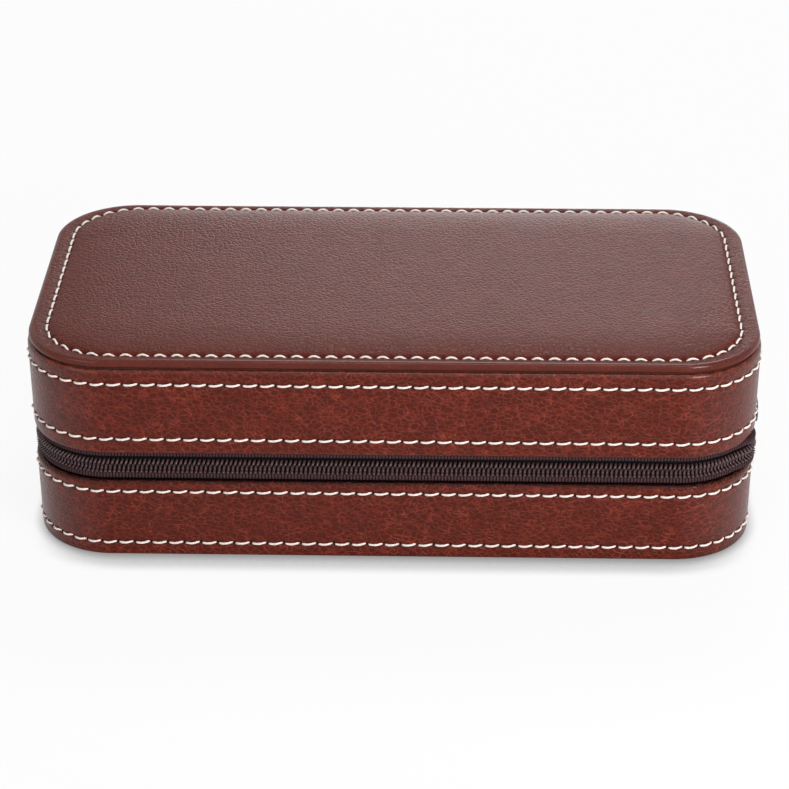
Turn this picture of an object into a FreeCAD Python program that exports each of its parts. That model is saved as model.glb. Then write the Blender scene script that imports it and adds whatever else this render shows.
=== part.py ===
import FreeCAD, Part
import os

# A zip-around travel box for three watches. Millimetres, +Z up, front face towards -Y.
# The origin is the centre of the flat underside.
V = FreeCAD.Vector

# Outer shape, measured at the top of the lid walls
WIDTH = 215.0
DEPTH = 110.6
CORNER_RADIUS = 24.4
TAPER_HEIGHT = 65.0
TAPER = 1.0                 # how much narrower each side is at the underside

# Heights of the leather edges and of the zip between them
BASE_EDGE = 26.2
LID_EDGE = 35.0
ZIP_LEVEL = (BASE_EDGE + LID_EDGE) / 2
LID_WALL_TOP = 62.0
PANEL_BOTTOM = 62.1
PANEL_EDGE = 64.9
PANEL_CROWN = 66.2

# Layers of the wall, as depths below the outer face
LEATHER = 1.2
HEM_DEPTH = 2.2
HEM_HEIGHT = 7.0
EDGE_ROLL = 1.1
GLUE_GAP = 0.05
TAPE_OUTER = HEM_DEPTH + GLUE_GAP
TAPE_THICKNESS = 0.6
TAPE_INNER = TAPE_OUTER + TAPE_THICKNESS
REBATE_DEPTH = TAPE_INNER + GLUE_GAP
CORE_INNER = 4.5
LINING_OUTER = CORE_INNER + GLUE_GAP
LINING_INNER = 6.0
LINING_GAP = 0.4            # between the rims of the two linings

# Floor and top boards
BOTTOM_LEATHER = 1.2
FLOOR_BOARD = 2.2
FLOOR_TOP = BOTTOM_LEATHER + FLOOR_BOARD
FLOOR_LINING = 1.2
TOP_BOARD = 2.6
CEILING_LINING = 1.2
PANEL_INSET = 0.5
PANEL_LEATHER = 1.0
PANEL_SEAM = 4.2            # seam that holds the padding, from the edge

# Bays and cushions
BAYS = 3
DIVIDER_THICKNESS = 3.0
DIVIDER_TOP = 27.0
CUSHION_WIDTH = 60.0
CUSHION_DEPTH = 72.0
CUSHION_HEIGHT = 40.0
CUSHION_CLOTH = 0.8
CUSHION_SLACK = 0.1         # between the cushion and the floor lining

# Zip
TAPE_MARGIN = 11.0          # tape hidden behind each hem and beyond
TAPE_SPLIT = 1.2            # between the two tapes and between the two coils
COIL_WIDTH = 2.25
COIL_OUTER = 0.35
COIL_INNER = 2.2
COIL_END = 7.7              # end of both coils on the right side
COIL_START = 48.0           # rear-left end of the coils, depth position
STOP_START = 20.5
STOP_LENGTH = 2.4
HINGE_HALF_WIDTH = 86.0
TAPE_REAR_END = 88.0

# Slider, parked on the right side
SLIDER_Y = 14.0
SLIDER_LENGTH = 10.5
SLIDER_WIDTH = 8.0
SLIDER_OUTER = -0.9
SLIDER_PLATE = 1.0
SLIDER_FLANGE = 0.8
SLIDER_FLANGE_END = 2.05
SLIDER_INNER = 3.05
SLIDER_INNER_PLATE = 1.05
SLIDER_POST = 0.8
SLIDER_POST_LENGTH = 2.6
SLIDER_ROUND = 1.6
BAIL_WIDTH = 2.2
BAIL_HALF_LENGTH = 4.2
BAIL_HEIGHT = 3.0
BAIL_WINDOW_HALF_LENGTH = 2.4
BAIL_WINDOW_HEIGHT = 1.7
PULLER_BAR_HEIGHT = 0.85
PULLER_BAR_RADIUS = 0.55
PULLER_EYE_LENGTH = 5.0
PULLER_EYE_HALF_WIDTH = 1.5
PULLER_HALF_WIDTH = 3.0
PULLER_END_HALF_WIDTH = 3.7
PULLER_LENGTH = 34.0
PULLER_HOLE_RADIUS = 1.6

os.makedirs("parts", exist_ok=True)


def save(shape, node):
    shape.exportStep("parts/" + node + ".step")


def lean(z):
    """How far the leaning wall stands inside its top outline at a height."""
    return TAPER * (1 - min(z, TAPER_HEIGHT) / TAPER_HEIGHT)


def outline(inset, z):
    """Rounded-rectangle wire at a height, inset from the outer face there."""
    x = WIDTH / 2 - inset - lean(z)
    y = DEPTH / 2 - inset - lean(z)
    r = max(CORNER_RADIUS - inset - lean(z), 3.0)
    s = r * (1 - 0.5 ** 0.5)
    edges = []
    corners = [(1, -1), (1, 1), (-1, 1), (-1, -1)]
    ends = []
    for sx, sy in corners:
        along_x = V(sx * (x - r), sy * y, z)
        along_y = V(sx * x, sy * (y - r), z)
        middle = V(sx * (x - s), sy * (y - s), z)
        first, last = (along_x, along_y) if sx * sy < 0 else (along_y, along_x)
        ends.append((first, last))
        edges.append(Part.Arc(first, middle, last).toShape())
    wires = []
    for i in range(4):
        wires.append(edges[i])
        wires.append(Part.makeLine(ends[i][1], ends[(i + 1) % 4][0]))
    return Part.Wire(wires)


def body(levels):
    """Solid through rounded-rectangle outlines, each given as (inset, height)."""
    return Part.makeLoft([outline(inset, z) for inset, z in levels], True, True)


def wall(outer, inner, bottom, top):
    """Plain ring of wall between two depths and two heights."""
    outside = body([(outer, bottom), (outer, top)])
    return outside.cut(body([(inner, bottom), (inner, top)]))


def block(x0, x1, y0, y1, z0, z1):
    return Part.makeBox(x1 - x0, y1 - y0, z1 - z0, V(x0, y0, z0))


def rear_block(half_width):
    """Everything behind the middle of the box within a half width."""
    return block(-half_width, half_width, 0, DEPTH, -1, PANEL_CROWN)


# Base: leather underside, boards, leather wall with a turned hem, lining
save(body([(LEATHER + GLUE_GAP, 0), (LEATHER + GLUE_GAP, BOTTOM_LEATHER)]), "base_bottom_cover")
save(body([(LEATHER + GLUE_GAP, BOTTOM_LEATHER + GLUE_GAP), (LEATHER + GLUE_GAP, FLOOR_TOP)]),
     "base_floor_board")

core = body([(LEATHER + GLUE_GAP, FLOOR_TOP + GLUE_GAP), (LEATHER + GLUE_GAP, BASE_EDGE - HEM_HEIGHT - 0.7),
             (REBATE_DEPTH, BASE_EDGE - HEM_HEIGHT - 0.4), (REBATE_DEPTH, BASE_EDGE - 0.2)])
core = core.cut(body([(CORE_INNER, FLOOR_TOP + GLUE_GAP), (CORE_INNER, BASE_EDGE - 0.2)]))
save(core, "base_wall_core")

cover = body([(0.9, 0), (0.25, 0.3), (0, 0.9), (0, BASE_EDGE - EDGE_ROLL),
              (0.33, BASE_EDGE - 0.33), (EDGE_ROLL, BASE_EDGE)])
cover = cover.cut(body([(LEATHER, 0), (LEATHER, BASE_EDGE - HEM_HEIGHT - 0.3),
                        (HEM_DEPTH, BASE_EDGE - HEM_HEIGHT), (HEM_DEPTH, BASE_EDGE)]))
save(cover, "base_wall_cover")

save(wall(LINING_OUTER, LINING_INNER, FLOOR_TOP + GLUE_GAP, ZIP_LEVEL - LINING_GAP / 2), "base_wall_lining")
floor_lining_bottom = FLOOR_TOP + GLUE_GAP
floor_lining_top = floor_lining_bottom + FLOOR_LINING
save(body([(LINING_INNER + GLUE_GAP, floor_lining_bottom), (LINING_INNER + GLUE_GAP, floor_lining_top)]),
     "base_floor_lining")

# Two dividers make the three bays
inside_half_width = WIDTH / 2 - LINING_INNER
bay_width = (2 * inside_half_width - (BAYS - 1) * DIVIDER_THICKNESS) / BAYS
bay_pitch = bay_width + DIVIDER_THICKNESS
divider_bottom = floor_lining_top + GLUE_GAP
divider_half_length = DEPTH / 2 - LINING_INNER - lean(divider_bottom) - GLUE_GAP
for side, name in ((-1, "left"), (1, "right")):
    x = side * bay_pitch / 2
    divider = block(x - DIVIDER_THICKNESS / 2, x + DIVIDER_THICKNESS / 2,
                    -divider_half_length, divider_half_length, divider_bottom, DIVIDER_TOP)
    top_edges = [e for e in divider.Edges if e.BoundBox.ZMin > DIVIDER_TOP - 0.01 and e.BoundBox.YLength > 1]
    save(divider.makeFillet(1.2, top_edges), "bay_divider_" + name)


def cushion_section(x, shrink, centre_z):
    """Rounded cross-section of a cushion, drawn in by a margin all round."""
    y = CUSHION_DEPTH / 2 - shrink
    z = CUSHION_HEIGHT / 2 - shrink
    r = 15.0 - shrink * 0.6
    s = r * (1 - 0.5 ** 0.5)
    points = []
    for sy, sz in ((-1, -1), (1, -1), (1, 1), (-1, 1)):
        along_y = V(x, sy * (y - r), centre_z + sz * z)
        along_z = V(x, sy * y, centre_z + sz * (z - r))
        middle = V(x, sy * (y - s), centre_z + sz * (z - s))
        points.append((along_z, middle, along_y) if sy * sz > 0 else (along_y, middle, along_z))
    edges = []
    for i in range(4):
        edges.append(Part.Arc(*points[i]).toShape())
        edges.append(Part.makeLine(points[i][2], points[(i + 1) % 4][0]))
    return Part.Wire(edges)


def cushion(centre_x, centre_z, skin):
    """Cushion drawn in towards both end seams, smaller all round by a skin."""
    half = CUSHION_WIDTH / 2 - skin
    shape = ((-1.0, 6.0), (-0.93, 3.2), (-0.8, 1.5), (-0.45, 0.3),
             (0.0, 0.0), (0.45, 0.3), (0.8, 1.5), (0.93, 3.2), (1.0, 6.0))
    return Part.makeLoft([cushion_section(centre_x + half * t, shrink + skin, centre_z)
                          for t, shrink in shape], True, True)


cushion_z = floor_lining_top + CUSHION_SLACK + CUSHION_HEIGHT / 2
for place, name in ((-1, "left"), (0, "middle"), (1, "right")):
    x = place * bay_pitch
    whole = cushion(x, cushion_z, 0)
    save(whole.cut(cushion(x, cushion_z, CUSHION_CLOTH)), "cushion_" + name + "_cover")
    save(cushion(x, cushion_z, CUSHION_CLOTH + GLUE_GAP), "cushion_" + name + "_filling")

# Lid: leather wall with its hem at the zip, boards, lining
core_top = LID_WALL_TOP - TOP_BOARD - GLUE_GAP
core = body([(REBATE_DEPTH, LID_EDGE + 0.2), (REBATE_DEPTH, LID_EDGE + HEM_HEIGHT + 0.4),
             (LEATHER + GLUE_GAP, LID_EDGE + HEM_HEIGHT + 0.7), (LEATHER + GLUE_GAP, core_top)])
core = core.cut(body([(CORE_INNER, LID_EDGE + 0.2), (CORE_INNER, core_top)]))
save(core, "lid_wall_core")

cover = body([(EDGE_ROLL, LID_EDGE), (0.33, LID_EDGE + 0.33), (0, LID_EDGE + EDGE_ROLL),
              (0, LID_WALL_TOP - 0.8), (0.25, LID_WALL_TOP - 0.25), (0.8, LID_WALL_TOP)])
cover = cover.cut(body([(HEM_DEPTH, LID_EDGE), (HEM_DEPTH, LID_EDGE + HEM_HEIGHT),
                        (LEATHER, LID_EDGE + HEM_HEIGHT + 0.3), (LEATHER, LID_WALL_TOP)]))
save(cover, "lid_wall_cover")

board_bottom = LID_WALL_TOP - TOP_BOARD
save(body([(LEATHER + GLUE_GAP, board_bottom), (LEATHER + GLUE_GAP, LID_WALL_TOP)]), "lid_top_board")
lining_top = board_bottom - GLUE_GAP
save(wall(LINING_OUTER, LINING_INNER, ZIP_LEVEL + LINING_GAP / 2, lining_top), "lid_wall_lining")
save(body([(LINING_INNER + GLUE_GAP, lining_top - CEILING_LINING), (LINING_INNER + GLUE_GAP, lining_top)]),
     "lid_ceiling_lining")


def panel_levels(skin):
    """Padded top panel: rounded edge, sunk seam and a low crown, inside a skin."""
    edge = PANEL_INSET + skin
    top = PANEL_EDGE - skin
    crown = PANEL_CROWN - skin
    rise = crown - top
    return [(edge, PANEL_BOTTOM), (edge, top - 0.7), (edge + 0.2, top - 0.25), (edge + 0.7, top),
            (PANEL_SEAM - 0.6, top + 0.05), (PANEL_SEAM, top - 0.2), (PANEL_SEAM + 0.8, top + 0.15),
            (PANEL_SEAM + 4, top + 0.55 * rise), (PANEL_SEAM + 9, top + 0.85 * rise), (PANEL_SEAM + 16, crown)]


save(body(panel_levels(0)).cut(body(panel_levels(PANEL_LEATHER))), "lid_panel_cover")
save(body(panel_levels(PANEL_LEATHER + GLUE_GAP)), "lid_panel_padding")

# Zip: two tapes and two coils round the sides and front, a leather hinge strip at the rear
tape_ends = rear_block(TAPE_REAR_END)
chain_ends = rear_block(WIDTH).common(block(-WIDTH, WIDTH, COIL_START, DEPTH, -1, PANEL_CROWN))
chain_ends = chain_ends.fuse(block(0, WIDTH, COIL_END, DEPTH, -1, PANEL_CROWN))
for name, side in (("base", -1), ("lid", 1)):
    split = ZIP_LEVEL + side * TAPE_SPLIT / 2
    far = split + side * TAPE_MARGIN
    tape = wall(TAPE_OUTER, TAPE_INNER, min(split, far), max(split, far))
    save(tape.cut(tape_ends), "zip_tape_" + name)
    far = split + side * COIL_WIDTH
    coil = wall(COIL_OUTER, COIL_INNER, min(split, far), max(split, far))
    save(coil.cut(chain_ends), "zip_coil_" + name)
    face = WIDTH / 2 - lean(ZIP_LEVEL)
    stop = block(face - COIL_INNER, face - COIL_OUTER, STOP_START, STOP_START + STOP_LENGTH,
                 min(split, far), max(split, far))
    save(stop.makeFillet(0.3, stop.Edges), "zip_top_stop_" + name)

strip = wall(TAPE_OUTER, TAPE_INNER, ZIP_LEVEL - TAPE_MARGIN, ZIP_LEVEL + TAPE_MARGIN)
save(strip.common(rear_block(HINGE_HALF_WIDTH)), "hinge_strip")

# Slider: outer and inner plates joined by a post, side flanges and a bail for the puller
face = WIDTH / 2 - lean(ZIP_LEVEL)
rear = SLIDER_Y + SLIDER_LENGTH / 2
front = SLIDER_Y - SLIDER_LENGTH / 2
low = ZIP_LEVEL - SLIDER_WIDTH / 2
high = ZIP_LEVEL + SLIDER_WIDTH / 2


def slider_plate(outer, thickness):
    plate = block(face - outer - thickness, face - outer, front, rear, low, high)
    corners = [e for e in plate.Edges if e.BoundBox.XLength > thickness / 2]
    return plate.makeFillet(SLIDER_ROUND, corners)


plate_in = SLIDER_OUTER + SLIDER_PLATE
slider = slider_plate(SLIDER_OUTER, SLIDER_PLATE)
slider = slider.fuse(slider_plate(SLIDER_INNER, SLIDER_INNER_PLATE))
slider = slider.fuse(block(face - SLIDER_INNER - 0.2, face - plate_in + 0.2, rear - SLIDER_POST_LENGTH, rear - 0.3,
                           ZIP_LEVEL - SLIDER_POST / 2, ZIP_LEVEL + SLIDER_POST / 2))
for edge in (low, high - SLIDER_FLANGE):
    slider = slider.fuse(block(face - SLIDER_FLANGE_END, face - plate_in + 0.2,
                               front + SLIDER_ROUND, rear - SLIDER_ROUND - 1.0, edge, edge + SLIDER_FLANGE))


def arch(half_length, height):
    """Half-moon face standing out from the slider's outer plate."""
    x = face - SLIDER_OUTER
    z = ZIP_LEVEL - BAIL_WIDTH / 2
    foot = V(x - 0.2, SLIDER_Y - half_length, z)
    other = V(x - 0.2, SLIDER_Y + half_length, z)
    bow = Part.Arc(foot, V(x + height, SLIDER_Y, z), other).toShape()
    moon = Part.Face(Part.Wire([bow, Part.makeLine(other, foot)]))
    return moon.extrude(V(0, 0, BAIL_WIDTH))


bail = arch(BAIL_HALF_LENGTH, BAIL_HEIGHT).cut(arch(BAIL_WINDOW_HALF_LENGTH, BAIL_WINDOW_HEIGHT))
save(slider.fuse(bail).removeSplitter(), "zip_slider_body")

# Puller: a tab on a round bar that turns under the bail, pointing to the front
bar_x = face - SLIDER_OUTER + PULLER_BAR_HEIGHT
tip = SLIDER_Y - PULLER_LENGTH
shoulder = SLIDER_Y - PULLER_EYE_LENGTH - 2.0
near = PULLER_HALF_WIDTH
wide = PULLER_END_HALF_WIDTH
edges = []
corners = [(SLIDER_Y, near), (shoulder, near), (tip + wide, wide)]
upper = [V(bar_x - PULLER_BAR_RADIUS, y, ZIP_LEVEL + z) for y, z in corners]
lower = [V(bar_x - PULLER_BAR_RADIUS, y, ZIP_LEVEL - z) for y, z in reversed(corners)]
rim = [Part.makeLine(upper[0], upper[1]), Part.makeLine(upper[1], upper[2]),
       Part.Arc(upper[2], V(bar_x - PULLER_BAR_RADIUS, tip, ZIP_LEVEL), lower[0]).toShape(),
       Part.makeLine(lower[0], lower[1]), Part.makeLine(lower[1], lower[2]), Part.makeLine(lower[2], upper[0])]
puller = Part.Face(Part.Wire(rim)).extrude(V(2 * PULLER_BAR_RADIUS, 0, 0))
bar_end = V(bar_x, SLIDER_Y, ZIP_LEVEL - near)
puller = puller.fuse(Part.makeCylinder(PULLER_BAR_RADIUS, 2 * near, bar_end, V(0, 0, 1)))
puller = puller.cut(block(bar_x - 2, bar_x + 2, SLIDER_Y - PULLER_EYE_LENGTH, SLIDER_Y - PULLER_BAR_RADIUS,
                          ZIP_LEVEL - PULLER_EYE_HALF_WIDTH, ZIP_LEVEL + PULLER_EYE_HALF_WIDTH))
hole = Part.makeCylinder(PULLER_HOLE_RADIUS, 4, V(bar_x - 2, tip + wide, ZIP_LEVEL), V(1, 0, 0))
save(puller.cut(hole), "zip_puller")
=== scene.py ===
"""Looks of a zip-around leather watch box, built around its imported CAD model."""
import math

import bmesh
import bpy
import numpy as np
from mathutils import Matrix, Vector
from mathutils.bvhtree import BVHTree


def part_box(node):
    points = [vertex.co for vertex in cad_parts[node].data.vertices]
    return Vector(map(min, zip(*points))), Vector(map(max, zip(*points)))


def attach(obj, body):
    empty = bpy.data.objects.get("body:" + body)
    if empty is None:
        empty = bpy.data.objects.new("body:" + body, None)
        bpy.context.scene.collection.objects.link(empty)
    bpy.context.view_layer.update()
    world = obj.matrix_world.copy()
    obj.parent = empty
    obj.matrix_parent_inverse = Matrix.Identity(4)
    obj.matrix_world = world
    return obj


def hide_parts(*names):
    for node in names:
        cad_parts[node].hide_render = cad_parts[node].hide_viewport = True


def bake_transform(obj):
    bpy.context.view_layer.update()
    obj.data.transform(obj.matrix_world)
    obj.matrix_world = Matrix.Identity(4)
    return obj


bl_info = {
    "name": "Watch box",
    "version": (1, 0, 0),
    "blender": (4, 5, 0),
    "location": "View3D > Sidebar > Watch box",
    "description": "Leather, stitching, zip, lining and cushions of a travel watch box",
    "category": "Object",
}

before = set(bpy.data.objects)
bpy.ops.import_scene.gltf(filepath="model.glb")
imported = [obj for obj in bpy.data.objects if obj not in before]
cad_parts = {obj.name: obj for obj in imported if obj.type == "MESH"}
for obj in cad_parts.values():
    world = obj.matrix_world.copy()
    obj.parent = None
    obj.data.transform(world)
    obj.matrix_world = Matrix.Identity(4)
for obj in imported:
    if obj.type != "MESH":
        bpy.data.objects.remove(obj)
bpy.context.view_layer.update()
MM = 0.001


def low(node):
    """Lowest height of a CAD node."""
    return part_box(node)[0][2]


def high(node):
    """Highest height of a CAD node."""
    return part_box(node)[1][2]


# Heights of the box, from the frame
BASE_EDGE = high("base_wall_cover")
LID_EDGE = low("lid_wall_cover")
LID_WALL_TOP = high("lid_wall_cover")
PANEL_BOTTOM = low("lid_panel_cover")
PANEL_TOP = high("lid_panel_cover")
ZIP_LEVEL = (BASE_EDGE + LID_EDGE) / 2
TAPER_HEIGHT = 65 * MM

# Seam rows, measured from the leather edges
SEAM_FROM_ZIP = 4.4 * MM
SEAM_FROM_GROUND = 4.4 * MM
SEAM_FROM_PANEL = 4.6 * MM
# Each row's name, body, height and the share of a stitch by which it is shifted
SEAMS = (("seam_lid_upper", "lid", LID_WALL_TOP - SEAM_FROM_PANEL, 0.25),
         ("seam_lid_lower", "lid", LID_EDGE + SEAM_FROM_ZIP, 0.625),
         ("seam_base_upper", "base", BASE_EDGE - SEAM_FROM_ZIP, 0.875),
         ("seam_base_lower", "base", SEAM_FROM_GROUND, 0.5))
POINTS_PER_STITCH = 8
HOLE_RADIUS = 0.5 * MM
CHANNEL_WIDTH = 0.6 * MM
CHANNEL_DIP = 0.14 * MM     # how far a seam draws the leather in
HOLE_DIP = 0.75 * MM        # how much further a needle hole does
CHANNEL_SHADE, PANEL_SEAM_SHADE = 0.12, 0.15   # painted shade along a seam between its holes, on the walls and on the panel
# painted shade beside the panel's needle holes
HOLE_RIM_SHADE = 0.6

# Stitches
WALL_GAP, PANEL_GAP = 0.08, 0.13   # share of the pitch left bare at each end of a stitch
STITCH_STEPS = 11
STITCH_SLANT = 0.45 * MM
STITCH_SINK = 0.5 * MM      # how far the ends dive into their holes
STITCH_RISE = 0.8 * MM
STITCH_UNEVEN = 0.25

# Leather walls
BURNISH = 0.35              # shine where hands rub the rolled edges and corners
ZIP_SHADOW_REACH = 1.2 * MM        # painted shadow of the zip: height over which the base's upper edge darkens towards it
ZIP_SHADOW_DARKEST = 0.9
HEM_DROP = {"lid": 0.6 * MM, "base": 0.9 * MM}   # both hems lie a little lower than the CAD edges
HEM_STEP = 0.4 * MM
GROUND_ROLL = 0.9 * MM
BROW_ROLL = 1.15 * MM
ROLL_TURNS = (0.0, 0.4, 0.8, 1.2, 1.57)
NEAR_SEAM = (-1.6, -1.0, -0.65, -0.3, 0.0, 0.3, 0.65, 1.0, 1.6)   # rows of points about a seam, in mm
FACE_STEPS = 6

# Padded panel
PANEL_SEAM_DIP = 0.4 * MM
PANEL_EDGE = 64.9 * MM
PANEL_HOLE_DIP, PANEL_RIM_DIP = 0.7 * MM, 0.5 * MM   # at a needle hole and beside it
PANEL_THREAD_SINK = 0.1 * MM
# Rolled edge: inset and height in mm, below from the panel's underside and above from its edge
PANEL_LOWER = ((2.6, 0.0), (1.7, 0.02), (1.05, 0.25), (0.68, 0.65), (0.52, 1.15), (0.5, 1.5))
PANEL_UPPER = ((0.56, -0.85), (0.74, -0.45), (1.05, -0.16), (1.5, 0.0), (2.1, 0.05), (2.8, 0.02))
# Border: share of the way from the rolled edge to the seam, and height in mm
PANEL_BORDER = ((0.5, -0.06), (0.8, -0.18))
# Crown: inset from the seam in mm, and share of its rise
PANEL_CROWN = ((0.5, -0.1), (1.1, 0.14), (2.2, 0.32), (4.0, 0.52), (6.5, 0.7), (9.5, 0.83), (13.0, 0.92),
               (17.0, 0.97))

# Zip, with lengths along it measured from the middle of the front
TAPE_REACH = 216 * MM       # length of each tape either way
TAPE_HALF = 0.22 * MM
TAPE_FOOT = 11.2 * MM       # height of its sewn edge from the zip's middle
TAPE_BULGE = 1.6 * MM
RIB_PITCH = 0.95 * MM       # coarser than the real 0.67 mm weave, so that the ribs show
RIB_DEPTH = 0.35 * MM
RIB_STEPS = 6
CHAIN_LEFT = 202 * MM       # rear-left end of the coils
CHAIN_RIGHT = 160 * MM      # end of the coils on the right side
CHAIN_PARTS = 116 * MM      # from here the halves part, for the slider's post
CHAIN_PARTED = 6 * MM       # length over which they do
BARE_FADE = 4 * MM          # length over which the painted shade behind the coil ends
SLIDER_RUN = (124 * MM, 190 * MM)   # where the tape lies flat for the slider
RUN_FADE = 8 * MM
CORNER_BULGE = 1.6 * MM     # the zip stands out further at the front right corner
CORNER_MIDDLE, CORNER_REACH = 111.5 * MM, 10 * MM
CORNER_SPREAD = 2.4         # how soon that push builds up from the sewn edge
# Middle line of each tape's section, sewn edge to coil: depth and height in mm, and share of the bulge
TAPE_LINES = {
    "lid": ((2.55, 11.2, 0), (2.55, 6.0, 0), (2.5, 4.6, 0), (2.45, 4.2, 0.6), (2.45, 3.9, 1.0),
            (2.45, 3.4, 1.15), (2.45, 2.9, 1.05), (2.45, 2.6, 0.7), (2.5, 2.4, 0.1), (2.6, 2.2, 0),
            (2.45, 1.9, 0), (2.3, 0.03, 0)),
    "base": ((2.55, 11.2, 0), (2.55, 6.5, 0), (2.5, 5.6, 0), (2.5, 5.0, 0.05), (2.45, 4.75, 0.5),
             (2.45, 4.5, 0.9), (2.45, 4.0, 1.1), (2.45, 3.4, 1.1), (2.45, 2.9, 0.95), (2.45, 2.5, 0.5),
             (2.45, 2.2, 0.1), (2.35, 1.95, 0), (2.3, 0.03, 0)),
}
# A turn of each half of the coil: heights in mm where it starts and ends, crest and width of its ridge
COIL_TURNS = {"lid": (1.45, -1.0, 0.38, 0.3), "base": (-2.6, -0.4, 0.1, 0.16)}
COIL_PARTED = {"lid": (2.0, 0.45, 0.4, 0.3), "base": (-2.0, -0.45, 0.4, 0.3)}   # where the halves lie apart
COIL_LEAN = {"lid": -0.8 * MM, "base": 0.3 * MM}
COIL_SHIFT = {"lid": 0.5, "base": 0.0}   # share of the pitch
COIL_DEPTH, COIL_RIDGE = 1.9 * MM, 1.4 * MM
COIL_WIRE = (0.42 * MM, 0.4 * MM)        # half thickness outward and along the zip
COIL_STEPS = 10

# Hinge and lining
HINGE_LAP = 1.5 * MM        # how far the strip covers the ends of the tapes
HINGE_DEPTHS = (2.27 * MM, 2.83 * MM)
HINGE_POINTS = (120, 45)    # along the strip and up it
LINING_DEPTHS = (4.6 * MM, 5.98 * MM)
LINING_POINTS = 480

# Cushions
CUSHION_START = 0.9         # size before filling
CUSHION_ROUNDING = 9 * MM
CUSHION_MESH = 3.2 * MM
CUSHION_PRESSURE, CUSHION_STIFFNESS = 4.0, 25
CUSHION_FRAMES = 18
CUSHION_REACH = 4.5 * MM    # how far the filling may push the cloth
CUSHION_SEAM = 0.74         # where the sewn cords lie, as a share of half the width
CUSHION_SEAM_WIDTH, CUSHION_SEAM_DIP = 2.5 * MM, 0.035
CUSHION_FOOT = 0.02 * MM    # room between a cushion and its floor
PIPING_RADIUS = 0.8 * MM
PIPING_SINK = 0.2           # share of its radius that a cord lies in the cloth
PIPING_SIDES, PIPING_POINTS = 8, 140
RAY_START = 0.2             # well outside a cushion

# Camera and stage
CAMERA_AZIMUTH = math.radians(1.5225)
CAMERA_ELEVATION = math.radians(27.656)
CAMERA_ROLL = math.radians(-0.1736)
CAMERA_DISTANCE = 851.5 * MM
CAMERA_LENS = 126.18
CAMERA_SHIFT = (-0.00251, -0.02412)
AIM_HEIGHT = 32.34 * MM
BACKGROUND = "#fafafa"
FLOOR_REACH, FLOOR_LEVEL = 3.0, -0.1 * MM
FLOOR_SEEN = 0.9            # share of the floor that is plain white to the eye
WORLD_LIGHT = 0.3
# Soft boxes: name, place, height aimed at, size and power
LIGHTS = (("overhead", (0.1, -0.3, 1.15), 0.06, (0.45, 0.16), 2.5),
          ("rear_high", (0.1, 0.9, 1.0), 0.06, (0.6, 0.4), 6.3),
          ("rear_low", (0.1, 1.3, 0.13), 0.06, (0.6, 0.16), 3.0),
          ("front_left", (-0.8, -1.0, 0.6), 0.03, (0.8, 0.6), 3.9),
          ("front_right", (0.35, -0.55, 0.3), 0.03, (0.2, 0.3), 3.3))


def linear(hex_colour):
    """Linear RGBA of an sRGB hex colour."""
    channels = [int(hex_colour[i:i + 2], 16) / 255 for i in (1, 3, 5)]
    return [c / 12.92 if c <= 0.04045 else ((c + 0.055) / 1.055) ** 2.4 for c in channels] + [1.0]


def length(name, description, millimetres):
    """A length property in metres."""
    return bpy.props.FloatProperty(name=name, description=description, default=millimetres * MM,
                                   unit="LENGTH", precision=5)


def tint(name, description, hex_colour):
    """A colour property."""
    return bpy.props.FloatVectorProperty(name=name, description=description, subtype="COLOR", size=4,
                                         min=0, max=1, default=linear(hex_colour))


class WatchBoxSizes(bpy.types.PropertyGroup):
    """Sizes of the sewn and soft pieces"""
    width: length("Width", "Outer width at the top of the walls", 215)
    depth: length("Depth", "Outer depth at the top of the walls", 110.6)
    corner_radius: length("Corner radius", "Radius of the upright corners", 24.4)
    taper: length("Taper", "How much each side leans in at the underside", 1.0)
    leather: length("Leather", "Thickness of the wall leather", 1.2)
    hem: length("Hem", "Thickness of the turned hem", 2.2)
    hem_height: length("Hem height", "How far the hem is turned in", 7.0)
    stitch_pitch: length("Stitch pitch", "From one needle hole to the next", 4.9)
    thread: length("Thread", "Thickness of the sewing thread", 0.66)
    panel_seam_side: length("Panel seam, sides", "Top seam from the side edges", 5.9)
    panel_seam_front: length("Panel seam, front", "Top seam from the front and rear edges", 4.2)
    panel_seam_radius: length("Panel seam radius", "Radius of the top seam's corners", 20.5)
    coil_pitch: length("Coil pitch", "From one turn of the zip coil to the next", 1.33)
    grain: length("Grain", "Width of one cell of the leather grain", 1.65)


class WatchBoxColours(bpy.types.PropertyGroup):
    """Colours of the materials"""
    leather: tint("Leather", "Body colour of the leather", "#641f10")
    leather_shade: tint("Leather cells", "Darker middle of the grain cells", "#4c170a")
    leather_crease: tint("Leather creases", "Lighter creases of the grain", "#7d3628")
    thread: tint("Thread", "Sewing thread", "#f0e6de")
    zip: tint("Zip", "Tape and coil of the zip", "#3d292c")
    metal: tint("Zip metal", "Slider and puller", "#2b2422")
    lining: tint("Lining", "Suede of the lining", "#8d6c48")
    cushion: tint("Cushions", "Suede of the cushions", "#a98a63")
    board: tint("Board", "Pressed board in the walls", "#5b4c3c")


def sizes():
    return bpy.context.scene.watch_box_sizes


def colours():
    return bpy.context.scene.watch_box_colours


# Outlines

def lean(z):
    """How far a leaning wall stands inside its top outline at a height."""
    return sizes().taper * (1 - min(z, TAPER_HEIGHT) / TAPER_HEIGHT)


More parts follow.
